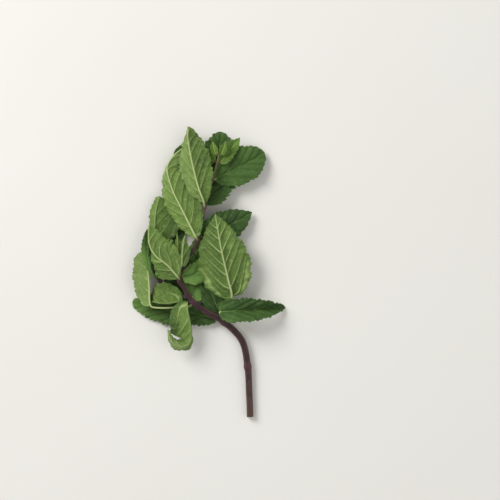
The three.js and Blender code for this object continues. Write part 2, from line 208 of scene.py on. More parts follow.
def add_node(tree, kind, inputs=None, **settings):
    """A shader node. `inputs` gives a value, or another node's output, for each socket."""
    node = tree.nodes.new("ShaderNode" + kind)
    for name, value in settings.items():
        setattr(node, name, value)
    for socket, value in (inputs or {}).items():
        if isinstance(value, bpy.types.NodeSocket):
            tree.links.new(value, node.inputs[socket])
        else:
            node.inputs[socket].default_value = value
    return node


def calc(tree, operation, *values):
    """The result of a Math node."""
    return add_node(tree, "Math", dict(enumerate(values)), operation=operation).outputs[0]


def times(tree, first, second):
    """Two values multiplied."""
    return calc(tree, "MULTIPLY", first, second)


def step(tree, value, start, end):
    """A smooth step of a value: 0 at `start` and 1 at `end`."""
    sockets = {"Value": value, "From Min": start, "From Max": end}
    node = add_node(tree, "MapRange", sockets, interpolation_type="SMOOTHSTEP")
    return node.outputs["Result"]


def map_parts(tree, name):
    """The two values of a UV map."""
    place = add_node(tree, "UVMap", uv_map=name).outputs[0]
    return add_node(tree, "SeparateXYZ", {0: place}).outputs[:2]


def own_place(tree):
    """The place of a point in the sprig, in metres."""
    return add_node(tree, "TexCoord").outputs["Object"]


def noise(tree, place, scale, detail, **more):
    """A noise texture's value, from 0 to 1."""
    sockets = {"Vector": place, "Scale": scale, "Detail": detail, **more}
    return add_node(tree, "TexNoise", sockets).outputs["Fac"]


def painted(tree, base, layers):
    """A colour with layers over it. A layer is the share that it covers, and its colour."""
    colour = linear(base)
    for share, over in layers:
        node = add_node(tree, "Mix", data_type="RGBA")
        under_socket, over_socket = [s for s in node.inputs if s.type == "RGBA"]
        tree.links.new(share, node.inputs[0])
        if isinstance(colour, bpy.types.NodeSocket):
            tree.links.new(colour, under_socket)
        else:
            under_socket.default_value = colour
        over_socket.default_value = linear(over)
        colour = [s for s in node.outputs if s.type == "RGBA"][0]
    return colour


def new_material(name):
    """An empty material with its shader: the material, its tree and the shader."""
    material = bpy.data.materials.new(name)
    material.use_nodes = True
    tree = material.node_tree
    return material, tree, tree.nodes["Principled BSDF"]


def raise_face(tree, shader, height, strength, distance, **settings):
    """Gives a surface the relief of a height, `distance` millimetres deep."""
    sockets = {"Height": height, "Strength": strength, "Distance": distance * MM}
    bump = add_node(tree, "Bump", sockets, **settings)
    tree.links.new(bump.outputs[0], shader.inputs["Normal"])


def stem_skin():
    """Purple skin: pinker on the ribs and at the nodes, brown at the foot, green at the tip."""
    material, tree, shader = new_material("stem_skin")
    around, along = map_parts(tree, "stem")
    at_node, distance = map_parts(tree, "node")
    on_faces = calc(tree, "COSINE", times(tree, around, 8 * math.pi))
    rib = calc(tree, "MULTIPLY_ADD", on_faces, -0.5, 0.5)
    drawn_out = {0: times(tree, around, 22), 1: times(tree, distance, 3)}
    streaks = noise(tree, add_node(tree, "CombineXYZ", drawn_out).outputs[0], 1, 4)
    patches = noise(tree, own_place(tree), 160, 3)
    skin = painted(tree, "#4b3a30", [
        (step(tree, along, 0.02, 0.3), "#331e22"),
        (step(tree, along, 0.62, 0.98), "#6f7d43"),
        (times(tree, at_node, 0.45), "#562f3a"),
        (times(tree, step(tree, rib, 0.45, 1), 0.5), "#6b4448"),
        (times(tree, step(tree, streaks, 0.5, 0.75), 0.5), "#5d533d"),
        (times(tree, step(tree, patches, 0.55, 0.35), 0.5), "#2c1d22"),
    ])
    tree.links.new(skin, shader.inputs["Base Color"])
    raise_face(tree, shader, streaks, strength=0.35, distance=0.15)
    shader.inputs["Roughness"].default_value = 0.5
    shader.inputs["Specular IOR Level"].default_value = 0.3
    return material


def pith():
    """Wet pale green pith."""
    material, tree, shader = new_material("stem_pith")
    sockets = {"Vector": own_place(tree), "Scale": 4000}
    cells = add_node(tree, "TexVoronoi", sockets).outputs["Distance"]
    colour = painted(tree, "#b9c08c", [(cells, "#8f9a62")])
    tree.links.new(colour, shader.inputs["Base Color"])
    shader.inputs["Roughness"].default_value = 0.35
    return material


def cut_end(obj, end):
    """Marks the flat end of a stem off from its skin, and sinks its pith a little."""
    select_only(obj)
    flat_ends = [face for face in obj.data.polygons if len(face.vertices) > 4]
    face = min(flat_ends, key=lambda flat: (flat.center - end).length)
    for part in (obj.data.vertices, obj.data.edges, obj.data.polygons):
        part.foreach_set("select", np.zeros(len(part), bool))
    face.select = True
    face.material_index = 1
    bpy.ops.object.mode_set(mode="EDIT")
    bpy.ops.mesh.select_mode(type="FACE")
    bpy.ops.mesh.inset(thickness=SKIN * MM)
    bpy.ops.transform.translate(value=(0, PITH_SUNK * MM, 0))
    bpy.ops.mesh.inset(thickness=PITH_RIM * MM)
    bpy.ops.object.mode_set(mode="OBJECT")


stem = stem_tube("stem_main", STEM_ROUTE)
shoots = [stem_tube("shoot_side", SIDE_ROUTE), stem_tube("shoot_bud", BUD_ROUTE)]
skin_material, pith_material = stem_skin(), pith()
for tube in (stem, *shoots):
    tube.data.materials.append(skin_material)
    tube.data.materials.append(pith_material)
    select_only(tube)
    bpy.ops.object.shade_smooth_by_angle(angle=math.radians(STEM_EDGE_ANGLE))
    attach(tube, "root")
cut_end(stem, Vector(STEM_ROUTE[0][0]) * MM)
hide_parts("stem")


# ---- Leaves that show their undersides ----
# A mint leaf is a thin blade on a short stalk that runs on as its midrib. Side veins leave
# the midrib in pairs and bend to the tip; they are sunk in the dark upper face and stand up
# on the pale underside. These leaves grow towards the viewer and fold over the stem.

BLADE = 0.34  # thickness of a blade
FULL = 0.55  # the lower, the fuller a blade is at both ends
POINT = 0.3  # how pointed a blade's tip is
WIDE_AT = 0.38  # where along its length a blade is widest
LOBES = (0.07, 0.07)  # how far the two lobes at its base reach back, as a share of its width
LOBE_REACH = 3  # how far along the blade they are felt
UNEVEN = 0.035  # how far its outline strays, as a share of its half width
STRAYS = ((1, 0.55, 2.5, 1), (0.6, 1.15, 4, 2))  # the waves of that, as edge_waves takes them
LEAST_HALF = 0.25  # half width that a blade keeps at its tip
AT_STALK = 0.7  # what it has more than that at its stalk, as a share of the stalk's radius
TOOTH_PITCH = 2.7  # length of leaf edge taken by one tooth
TOOTH_HEIGHT = 0.8  # from the notch to the point of a tooth
TOOTH_VARIES = 0.3  # how much the teeth differ in height
TOOTH_BACK = 0.75  # share of a tooth that its long side to the stalk takes
LEAST_TEETH = 4
TOOTH_SHIFT = 0.35  # how far the left teeth are shifted along from the right ones, in teeth
TOOTH_DRIFT = (0.25, 9)  # how far they stray from even places, in teeth, and its pace
TOOTH_PACE = 2.4  # how far each tooth is from the last in those differences, in radians
TOOTH_FULL = 4  # half width from which they have their full height
TOOTH_LEAST = 0.15  # share of it that they keep where a blade is narrow

VEIN_PITCH = 7.2  # length of midrib between two side veins
LEAST_PAIRS = 3
VEIN_LEAN = 1.25  # how far a side vein runs forward, as a share of its way out
VEIN_BEND = 0.3  # how much more it does so at the edge
VEIN_WIDTH = 0.42  # half the width of the groove over a side vein
VEIN_START = 0.5  # length of blade over which they take up their lean, in half widths
VEIN_CROWD = 0.92  # below 1, the pairs stand further apart towards the tip
VEIN_SHIFT = (0.16, 0.8)  # how far a half's veins are out of step, in pairs, and where it sets in
VEIN_DRIFT = (0.1, 2.3)  # how far the pairs stray from even places, in pairs, and its pace
VEIN_SLOPE = 0.8  # distance between two side veins, as a share of their pitch
VEIN_SUNK = 0.1  # depth of a side vein in the upper face
VEINED = 0.55  # how clearly the side veins show, from 0 to 1
PUFF = 0.7  # how far the blade swells between its veins
PUFF_REACH = 2.4  # distance from a vein where it has swelled up
PUFF_MIDDLE = 0.6  # share of the swelling that lies below the blade's own level
RIB_WIDTH = 0.75  # half width of the groove over the midrib
RIB_BASE, RIB_TAPER = 1.1, 0.8  # share of it at the stalk, and how much less at the tip
RIB_SUNK = 0.28  # depth of that groove
FLAT_RIM = 0.12  # share of a half, at its edge, where veins and puffs die out
FULL_HALF = 5  # half width from which they have their full height

CREASE = 0.7  # distance from the midrib over which a half takes up its fold
ARCH = 0.06  # how far the middle of each half rises, as a share of the half's width
WAVES = 5  # number of uneven waves that run across a blade, each its own way
WAVE = 0.5 / 3  # height of each at the blade's edge
WAVE_LONG = (9, 22)  # range of their lengths
WAVE_STARTS = (0, 6)  # range of where they start, in radians
ONE_WAVE = 6.28  # a whole wave in radians
RUFFLE = 0.4  # height of the waves along a blade's edge
RUFFLES = ((1, 0.85, 3, 1), (0.7, 1.5, 1, -1))  # those waves, as edge_waves takes them
RUFFLE_FULL = 7  # half width from which they have their full height
GRID_STEP = 0.36  # size of a blade's quads
LEAST_HEIGHT = 0.02  # height of what touches the table

STALK = 1.1  # radius of the stalk of a large leaf
STALK_LEAST = 0.25  # share of it that even the narrowest leaf's stalk has
STALK_WIDTH = 50  # width of leaf that adds as much again as STALK
STALK_THINS = (0.15, 4)  # share by which a stalk thins from the stem, and over what length
RIB_THINS = (1.3, 0.7, 0.1)  # the midrib's taper: its power, what goes, and what is left
STALK_SIDES = 12  # number of quads round a stalk
STALK_STEP = 0.6  # distance between a stalk's rings
RIB_SHORT = 0.6  # how far before the tip the midrib ends
RIB_PALE = 0.9  # how clearly the midrib shows, from 0 to 1
RIB_FADES = 0.6  # share by which that is less at the tip
GROOVE = 0.35  # depth of the groove along a stalk's top, as a share of its radius
GROOVE_REACH = 0.5  # how far it reaches round the stalk from the top, in radians
STALK_FLAT = 1.05  # how much wider than deep a stalk is
RIB_DEPTH = (0.9, 0.12, 0.25)  # how deep it lies: in radii, in length, and more under a blade
RIB_SINKS = 3  # length of blade over which it sinks by that last value
LEAF_EDGE_ANGLE = 60  # a leaf is shaded smooth over edges flatter than this

# Each leaf by the node that it replaces. Its line starts on the stem and runs through the
# points of its stalk and its blade, to its tip. Lists run evenly along the blade, and pairs
# are for its left and right, as its upper face is seen from its stalk. `roll` turns it about
# its line, and 180 puts its underside up. `left` and `right` are the degrees that a half is
# folded towards its upper face, and `halves` are shares of the half width. `painted_light` is
# painted light and shade, which runs evenly across the blade, from -2 for painted shade to 2 for
# painted sunlight, and `tip_painted_light` is more of it, added at the tip. `veins` and `rib`
# stand in for VEINED and RIB_PALE, and `full`, `point`, `wide_at`, `lobes` and `puff` for the
# values of those names. `teeth` makes its teeth that much higher.
UNDERSIDE_LEAVES = {
    "leaf_1_axil": dict(
        start=NODE_1, width=31, full=0.5, lobes=(0, 0.08), roll=[180], left=[10], right=[10],
        painted_light=(0.2, -0.2, -0.6, 0), veins=1,
        stalk=[(12, -24, 7), (13.7, -14.2, 9.5)],
        blade=[(11.5, -4, 13), (7.5, 14, 15.5), (4, 34, 12)],
    ),
    "leaf_2_low": dict(
        start=NODE_2, width=25, full=0.45, wide_at=0.42, point=0.5, lobes=(0.2, 0),
        halves=(
            [1.3, 1.15, 1.05, 1, 0.45, 0.5, 0.5, 0.4],
            [0.5, 0.5, 0.5, 0.45, 0.4, 0.36, 0.36, 0.36],
        ),
        roll=[180], left=[8, 8, 12, 18, 18, 35, 42, 42],
        right=[128, 128, 115, 90, 60, 45, 35, 30],
        painted_light=(-1.6, 0.7, 0.9, 0.5, 0.3), tip_painted_light=2.6, rib=0.15, veins=0.8,
        stalk=[(-10.9, -20, 8), (-12.4, -20.6, 11.6)],
        blade=[
            (-12.2, -24, 12.8), (-11, -30, 12), (-10.3, -36, 10.2), (-11.2, -41.5, 9.4),
            (-14.3, -43.9, 10.8), (-18.8, -43.3, 12.6), (-22.3, -39.4, 13.8), (-23.8, -33.3, 14.2),
        ],
    ),
    "side_leaf_front": dict(
        start=SIDE_NODE_1, width=19, full=0.3, wide_at=0.5, point=0, lobes=(0, 0.1),
        halves=([0.78], [1]), roll=[180], left=[130, 113, 105, 100], right=[12, 8, 8, 12],
        painted_light=(1, 1.5), veins=0.8,
        stalk=[(-19.5, -20.8, 6.6), (-31.8, -20.9, 8.2), (-34.7, -18.3, 8.8)],
        blade=[(-35.1, -8.5, 9.2), (-36, 2, 8.6), (-38.2, 12.6, 6.2)],
    ),
    "side_leaf_back": dict(
        start=SIDE_NODE_1, width=25, full=0.4, wide_at=0.45, point=0,
        halves=([1, 1, 1, 1, 1, 1.5], [0.45]), roll=[180], left=[0], right=[132],
        painted_light=(0.1, 0.2), rib=0.1, veins=0.7,
        stalk=[(-17.2, -17.3, 7.9)],
        blade=[(-25, -18.4, 9.5), (-31.9, -17.6, 8.9), (-34.9, -17, 5.2)],
    ),
    "side_leaf_tip": dict(
        start=SIDE_NODE_3, width=31, full=0.32, wide_at=0.42, point=0,
        halves=([1], [0.24]), roll=[180], left=[3, 3, 3, 6], right=[14],
        painted_light=(-2, -0.5, 0.4, 0.7, 0.8), tip_painted_light=0.8, rib=0.2, veins=0.25, puff=0.35,
        stalk=[(-32.3, 20.5, 5)],
        blade=[(-31.9, 27.5, 6.4), (-31.4, 35, 6.2), (-29.4, 44.8, 4.8)],
    ),
    "leaf_3_left": dict(
        start=NODE_3, width=23.5, full=0.8, wide_at=0.47, point=-0.3,
        halves=([1, 1, 1.1, 1.14, 1.1, 1], [1.3, 1.15, 0.52, 0.25, 0.25, 0.25]),
        roll=[180], left=[0, 0, 2, 6], right=[5, 10, 25, 80, 130, 130],
        painted_light=(0.5, 0.4, -0.4), veins=0.8,
        stalk=[(-18.4, -2.6, 10.9)],
        blade=[(-24, 4, 13.6), (-30.9, 9.6, 14.6), (-34.8, 16.9, 13.9), (-35.2, 27.2, 11.2)],
    ),
    "bud_leaf_right": dict(
        start=BUD_NODE, width=9.5, roll=[180], left=[20], right=[65, 58],
        painted_light=(-0.3, -1.2), rib=0.6,
        stalk=[(-15.9, 3.9, 12)],
        blade=[(-15.5, 10.1, 13), (-14.8, 17.3, 13.2), (-13.7, 21.4, 12.6)],
    ),
    "leaf_4_left": dict(
        start=NODE_4, width=29, full=0.5, wide_at=0.45, point=0.3, halves=([0.9], [0.6]),
        roll=[180], left=[8, 4, 5, 6], right=[10, 14, 28, 55, 95, 125],
        painted_light=(0, 0.7, 1), tip_painted_light=1.8,
        stalk=[(-8.2, 22, 11)],
        blade=[
            (-14.4, 34.5, 12), (-21, 48, 11.4), (-24.4, 60, 10), (-22.6, 66, 9),
            (-18.6, 70.6, 8.2), (-13.8, 74, 7.4),
        ],
    ),
    "leaf_5_front": dict(
        start=NODE_5, width=22.5, full=0.5, wide_at=0.5, point=0, halves=([1], [0.9]),
        roll=[180], left=[10, 12, 14, 20], right=[30, 30, 35, 45, 60, 75],
        painted_light=(-0.1, -0.3, 1.3, 1.4),
        stalk=[(-3, 42, 14.5)],
        blade=[(-6.2, 51, 17), (-9.6, 65, 17.8), (-11.9, 77.5, 15.5), (-12.2, 85.7, 11.8)],
    ),
}


def evenly(values, v):
    """The value at a share `v` of the way along values that are evenly spaced."""
    return np.interp(v, np.linspace(0, 1, len(values)), values)


def turned(vectors, axes, degrees):
    """Vectors that lie across `axes`, turned about them."""
    angle = np.radians(degrees)[..., None]
    return vectors * np.cos(angle) + np.cross(axes, vectors) * np.sin(angle)


def leaf_line(leaf):
    """The line of a leaf's stalk and midrib, and how much of its length is stalk."""
    places, directions, distances = smooth_line([leaf["start"], *leaf["stalk"], *leaf["blade"]])
    per_span = (len(distances) - 1) // (len(leaf["stalk"]) + len(leaf["blade"]))
    return places, directions, distances, distances[per_span * len(leaf["stalk"])]


def leaf_axes(leaf, line, s):
    """The line's place at `s`, the leaf's own level and upward axes, and its direction."""
    places, directions, distances, stalk = line
    side, over, forward = axes_across(sample(directions, distances, s))
    roll = evenly(leaf["roll"], np.clip((s - stalk) / (distances[-1] - stalk), 0, 1))
    side, over = turned(side, forward, roll), turned(over, forward, roll)
    return sample(places, distances, s), side, over, forward


def stalk_radius(leaf):
    """The radius of a leaf's stalk where it leaves the stem, which grows with its width."""
    return STALK * (STALK_LEAST + leaf["width"] / STALK_WIDTH)


def put_values(obj, name, values):
    """An attribute with a value for each vertex."""
    obj.data.attributes.new(name, "FLOAT", "POINT").data.foreach_set("value", values)


def paleness(leaf, v):
    """How pale the leaf's midrib is, from 0 to 1. It fades to the tip."""
    return leaf.get("rib", RIB_PALE) * (1 - RIB_FADES * v**2)


def edge_waves(waves, u, s, seed):
    """Waves along a blade's two edges: for each its height, its pace, and how far it is
    shifted between the two halves and from one leaf to the next."""
    return sum(
        height * np.sin(s * pace + half_shift * np.sign(u) + leaf_shift * seed)
        for height, pace, half_shift, leaf_shift in waves
    )


def half_width(leaf, u, v, s, seed):
    """How wide the half that a point lies on is there, before it has its teeth."""
    widest = math.log(0.5) / math.log(leaf.get("wide_at", WIDE_AT))
    bluntness = leaf.get("full", FULL) + leaf.get("point", POINT) * v
    shares = [evenly(half_share, v) for half_share in leaf.get("halves", ([1], [1]))]
    half = leaf["width"] / 2 * np.sin(np.pi * v**widest) ** bluntness * np.where(u < 0, *shares)
    half *= 1 + UNEVEN * edge_waves(STRAYS, u, s, seed)
    return np.maximum(half, AT_STALK * stalk_radius(leaf) * (1 - v) + LEAST_HALF)


def toothed(leaf, u, v, half, length, seed):
    """How far out a point lies when the blade has its teeth, negative on the left."""
    teeth = max(LEAST_TEETH, round(length / TOOTH_PITCH))
    drift, pace = TOOTH_DRIFT
    place = v * teeth + drift * np.sin(pace * v + seed) + np.where(u < 0, TOOTH_SHIFT, 0)
    number, place = np.floor(place), place % 1
    back, front = place / TOOTH_BACK, (1 - place) / (1 - TOOTH_BACK)
    tooth = np.where(place < TOOTH_BACK, back, front) - 0.5
    varied = 1 + TOOTH_VARIES * np.sin(number * TOOTH_PACE + seed)
    height = TOOTH_HEIGHT * leaf.get("teeth", 1) * varied
    room = np.clip(half / TOOTH_FULL, TOOTH_LEAST, 1)
    return u * (half + height * tooth * room * np.abs(u) ** 3)


def side_veins(leaf, x, s, length, seed):
    """A count of the pairs of veins, whole on a vein, and the distance to the nearest."""
    out, wide = np.abs(x), leaf["width"] / 2
    spread = 1 - np.exp(-s / (VEIN_START * wide))
    origin = s - out * (VEIN_LEAN + VEIN_BEND * out / wide) * spread
    pairs = max(LEAST_PAIRS, length / VEIN_PITCH)
    (shift, sets_in), (drift, pace) = VEIN_SHIFT, VEIN_DRIFT
    count = pairs * np.clip(origin / length, 0, 2) ** VEIN_CROWD + shift * x / (out + sets_in)
    count += drift * np.sin(pace * count + seed)
    return count, np.abs((count + 0.5) % 1 - 0.5) * length / pairs * VEIN_SLOPE


def relief(leaf, x, u, v, s, half, off_vein, seed):
    """How far the upper face rises from the blade's own plane: puffs, grooves and waves."""
    fade = np.clip((1 - np.abs(u)) / FLAT_RIM, 0, 1)
    vein = np.exp(-((off_vein / VEIN_WIDTH) ** 2)) * fade
    midrib = np.exp(-((x / (RIB_WIDTH * (RIB_BASE - RIB_TAPER * v))) ** 2))
    room = np.clip(half / FULL_HALF, 0, 1)
    swell = room * fade**0.5
    puff = np.sqrt(np.clip(off_vein / PUFF_REACH, 0, 1)) - PUFF_MIDDLE
    rise = leaf.get("puff", PUFF) * swell * puff * (1 - midrib)
    rise -= VEIN_SUNK * vein * swell + RIB_SUNK * midrib * room
    random = np.random.default_rng(seed)
    for _ in range(WAVES):
        long, angle = random.uniform(*WAVE_LONG), random.uniform(0, np.pi)
        start = random.uniform(*WAVE_STARTS)
        along = x * np.cos(angle) + s * np.sin(angle)
        rise += WAVE * np.abs(u) * np.sin(along * ONE_WAVE / long + start)
    rise += ARCH * half * 4 * np.abs(u) * (1 - np.abs(u))
    ruffle = edge_waves(RUFFLES, u, s, seed)
    return rise + RUFFLE * np.clip(half / RUFFLE_FULL, 0, 1) * np.abs(u) ** 3 * ruffle


def blade_sheet(name, leaf, line, seed):
    """The blade's upper face as a sheet, folded along its midrib and kept off the table."""
    length = line[2][-1] - line[3]
    columns = 2 * math.ceil(leaf["width"] / 2 / GRID_STEP) + 1
    obj = add_grid(name, columns, math.ceil(length / GRID_STEP) + 1)
    across, v = grid_places(obj)
    u, s = across * 2 - 1, v * length
    half = half_width(leaf, u, v, s, seed)
    x = toothed(leaf, u, v, half, length, seed)
    count, off_vein = side_veins(leaf, x, s, length, seed)
    rise = relief(leaf, x, u, v, s, half, off_vein, seed)

    centre, side, over, forward = leaf_axes(leaf, line, s + line[3])
    fold = np.where(x < 0, evenly(leaf["left"], v), evenly(leaf["right"], v))
    fold *= x / np.sqrt(x**2 + CREASE**2)
    outward, normal = turned(side, -forward, fold), turned(over, -forward, fold)
    lobe = np.where(u < 0, *leaf.get("lobes", LOBES)) * leaf["width"] * u**2
    lobe *= np.exp(-s / LOBE_REACH)
    upper = centre + outward * x[:, None] + normal * rise[:, None] - forward * lobe[:, None]
    lower = upper - normal * BLADE
    upper[:, 2] += np.maximum(0, LEAST_HEIGHT - np.minimum(upper[:, 2], lower[:, 2]))
    put_vertices(obj, upper)
    put_map(obj, "flat", x / MAP_UNIT, s / MAP_UNIT)
    put_map(obj, "veins", np.abs(u), count)
    # Painted light and shade for each vertex: the leaf's tone across it, and tip_painted_light at
    # its tip.
    put_values(obj, "painted_light", evenly(leaf["painted_light"], across) + leaf.get("tip_painted_light", 0) * v**3)
    put_values(obj, "veined", np.full_like(v, leaf.get("veins", VEINED)))
    put_values(obj, "pale", paleness(leaf, v))
    return obj


def stalk_and_rib(name, leaf, line):
    """The stalk, grooved along its top, that runs on under the blade as its midrib."""
    distances, stalk = line[2:]
    obj = add_grid(name, STALK_SIDES + 1, int(distances[-1] / STALK_STEP) + 1)
    round_share, along = grid_places(obj)
    s = along * (distances[-1] - RIB_SHORT)
    v = np.clip((s - stalk) / (distances[-1] - stalk), 0, 1)
    centre, side, over = leaf_axes(leaf, line, s)[:3]
    (power, goes, left), (thins, thin_at) = RIB_THINS, STALK_THINS
    radius = stalk_radius(leaf) * ((1 - v) ** power * goes + left)
    radius *= 1 - thins * np.clip(s / thin_at, 0, 1)
    turn = round_share * 2 * math.pi
    groove = 1 - GROOVE * np.exp(-(((turn - math.pi / 2) / GROOVE_REACH) ** 2))
    of_radius, always, under_blade = RIB_DEPTH
    sunk = of_radius * radius + always + np.clip((s - stalk) / RIB_SINKS, 0, 1) * under_blade
    places = centre - over * sunk[:, None]
    places += side * (radius * np.cos(turn))[:, None] * STALK_FLAT
    places += over * (radius * groove * np.sin(turn))[:, None]
    places[:, 2] = np.maximum(places[:, 2], LEAST_HEIGHT)
    put_vertices(obj, places)
    put_map(obj, "flat", np.zeros_like(s), (s - stalk) / MAP_UNIT)
    put_map(obj, "veins", np.zeros_like(s), s / MAP_UNIT)
    put_values(obj, "pale", paleness(leaf, v))
    close_tube(obj)
    return obj


def make_leaf(node, leaf, materials, seed):
    """One leaf: its sheet given its thickness, and its stalk and rib joined to it."""
    line = leaf_line(leaf)
    sheet = blade_sheet("fine_" + node, leaf, line, seed)
    sheet.data.materials.append(materials["upper"])
    sheet.data.materials.append(materials["under"])
    walls = sheet.modifiers.new("thickness", "SOLIDIFY")
    walls.thickness = BLADE * MM
    walls.offset = -1
    walls.material_offset = walls.material_offset_rim = 1
    bpy.ops.object.modifier_apply(modifier=walls.name)
    for vertex in sheet.data.vertices:
        vertex.co.z = max(vertex.co.z, LEAST_HEIGHT * MM)
    rib = stalk_and_rib("rib", leaf, line)
    rib.data.materials.append(materials["rib"])
    select_only(sheet)
    rib.select_set(True)
    bpy.ops.object.join()
    bpy.ops.object.shade_smooth_by_angle(angle=math.radians(LEAF_EDGE_ANGLE))
    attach(sheet, "root")
    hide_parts(node)


def make_leaves(leaves, materials, first_seed):
    """A group of leaves. Each one's seed makes its teeth, veins and waves its own."""
    for seed, (node, leaf) in enumerate(leaves.items(), start=first_seed):
        make_leaf(node, leaf, materials, seed)


def attribute(tree, name):
    """The value of a mesh's attribute."""
    return add_node(tree, "Attribute", attribute_name=name).outputs["Fac"]


def cell_edges(tree, place, scale):
    """The distance to the edges of a net of cells."""
    sockets = {"Vector": place, "Scale": scale}
    node = add_node(tree, "TexVoronoi", sockets, feature="DISTANCE_TO_EDGE")
    return node.outputs["Distance"]


def leaf_pattern():
    """What a mint blade shows on both faces: side veins, the net between them, and grain."""
    group = bpy.data.node_groups.new("leaf_pattern", "ShaderNodeTree")
    flat = add_node(group, "UVMap", uv_map="flat").outputs[0]
    from_rib = calc(group, "ABSOLUTE", map_parts(group, "flat")[0])
    to_edge, count = map_parts(group, "veins")
    rib = step(group, from_rib, 0.055, 0.02)

    off_vein = calc(group, "PINGPONG", count, 0.5)
    width = calc(group, "MULTIPLY_ADD", to_edge, -0.03, 0.045)
    vein = step(group, calc(group, "SUBTRACT", off_vein, width), 0.02, -0.03)
    branch = times(group, step(group, off_vein, 0.455, 0.49), step(group, to_edge, 0.2, 0.4))
    off_fork = calc(group, "MULTIPLY_ADD", to_edge, 0.22, times(group, off_vein, -1))
    fork = step(group, calc(group, "ABSOLUTE", off_fork), 0.035, 0.01)
    fork = times(group, fork, step(group, to_edge, 0.35, 0.6))
    vein = calc(group, "MAXIMUM", vein, times(group, calc(group, "MAXIMUM", branch, fork), 0.45))
    vein = times(group, vein, step(group, to_edge, 0.98, 0.8))

    sockets = {"Vector": flat, "Scale": 9, "Detail": 2}
    sway = add_node(group, "TexNoise", sockets).outputs["Color"]
    small = add_node(group, "VectorMath", {0: sway, 1: (0.06, 0.06, 0.06)}, operation="MULTIPLY")
    bent = add_node(group, "VectorMath", {0: flat, 1: small.outputs[0]}, operation="ADD")
    cells = cell_edges(group, bent.outputs[0], 8.5)
    fine = cell_edges(group, bent.outputs[0], 26)
    fine_net = times(group, step(group, fine, 0.14, 0.02), 0.4)
    net = calc(group, "MAXIMUM", step(group, cells, 0.1, 0.02), fine_net)
    raised = calc(group, "MAXIMUM", rib, vein)

    parts = {
        "Rib": rib,
        "Vein": vein,
        "Net": net,
        "Cells": step(group, cells, 0.15, 0.5),
        "Patches": noise(group, own_place(group), 110, 4, Roughness=0.6),
        "Edge": step(group, to_edge, 0.93, 1),
        # Painted light and shade, read from the mesh.
        "PaintedLight": attribute(group, "painted_light"),
        "Pale": attribute(group, "pale"),
        "Veined": attribute(group, "veined"),
        "Height": calc(group, "MAXIMUM", raised, times(group, net, 0.5)),
    }
    for name in parts:
        group.interface.new_socket(name, in_out="OUTPUT", socket_type="NodeSocketFloat")
    out = group.nodes.new("NodeGroupOutput")
    for name, value in parts.items():
        group.links.new(value, out.inputs[name])
    return group


def blade_material(name, body, vein, dark, light, sunlit, roughness, raised):
    """One face of a blade. `raised` is how far its veins stand up, or sink if negative."""
    material, tree, shader = new_material(name)
    pattern = tree.nodes.new("ShaderNodeGroup")
    pattern.node_tree = PATTERN
    part = pattern.outputs
    colour = painted(tree, body, [
        (step(tree, part["Patches"], 0.4, 0.72), dark),
        (step(tree, part["Patches"], 0.45, 0.25), light),
        # Painted light and shade from the tone attribute: lighter, then sunlit, above 0, and
        # darker, then a deep painted shade (#1f3518), below 0.
        (times(tree, step(tree, part["PaintedLight"], 0, 1), 0.75), light),
        (times(tree, step(tree, part["PaintedLight"], 0, -1), 0.75), dark),
        (times(tree, step(tree, part["PaintedLight"], 1, 2), 0.8), sunlit),
        (times(tree, step(tree, part["PaintedLight"], -1, -2), 0.5), "#1f3518"),
        (times(tree, part["Cells"], 0.45), dark),
        (times(tree, part["Net"], 0.35), vein),
        (times(tree, part["Vein"], part["Veined"]), vein),
        (times(tree, part["Rib"], part["Pale"]), vein),
        (times(tree, part["Edge"], 0.35), light),
    ])
    tree.links.new(colour, shader.inputs["Base Color"])
    raise_face(tree, shader, part["Height"], strength=1, distance=abs(raised), invert=raised < 0)
    shader.inputs["Roughness"].default_value = roughness
    shader.inputs["Specular IOR Level"].default_value = 0.3
    return material


def rib_material(name, rib):
    """Stalk and midrib: pale along the leaf, and tinged brown where they leave the stem."""
    material, tree, shader = new_material(name)
    from_stem = map_parts(tree, "veins")[1]
    grain = noise(tree, own_place(tree), 900, 3)
    colour = painted(tree, "#66843a", [
        (attribute(tree, "pale"), rib),
        (step(tree, from_stem, 0.45, 0.05), "#7c6c48"),
        (times(tree, grain, 0.35), "#6f8346"),
    ])
    tree.links.new(colour, shader.inputs["Base Color"])
    raise_face(tree, shader, grain, strength=0.3, distance=0.08)
    shader.inputs["Roughness"].default_value = 0.5
    return material


PATTERN = leaf_pattern()
GROWN = {
    "upper": blade_material(
        "blade_upper", body="#3f6029", vein="#5f7e3f", dark="#28431b", light="#587b35",
        sunlit="#7aa34c", roughness=0.45, raised=-0.4,
    ),
    "under": blade_material(
        "blade_under", body="#5a7c2c", vein="#adbf78", dark="#3f6123", light="#7a9b47",
        sunlit="#9bb272", roughness=0.6, raised=0.42,
    ),
    "rib": rib_material("rib_pale", "#c8d694"),
}
make_leaves(UNDERSIDE_LEAVES, GROWN, first_seed=0)


# ---- Leaves that show their upper faces ----
# These grow away from the viewer and lie beneath the stem, some of them flat on the table.
# Their upper faces are dark green with a slight shine, and the veins are sunk in them.

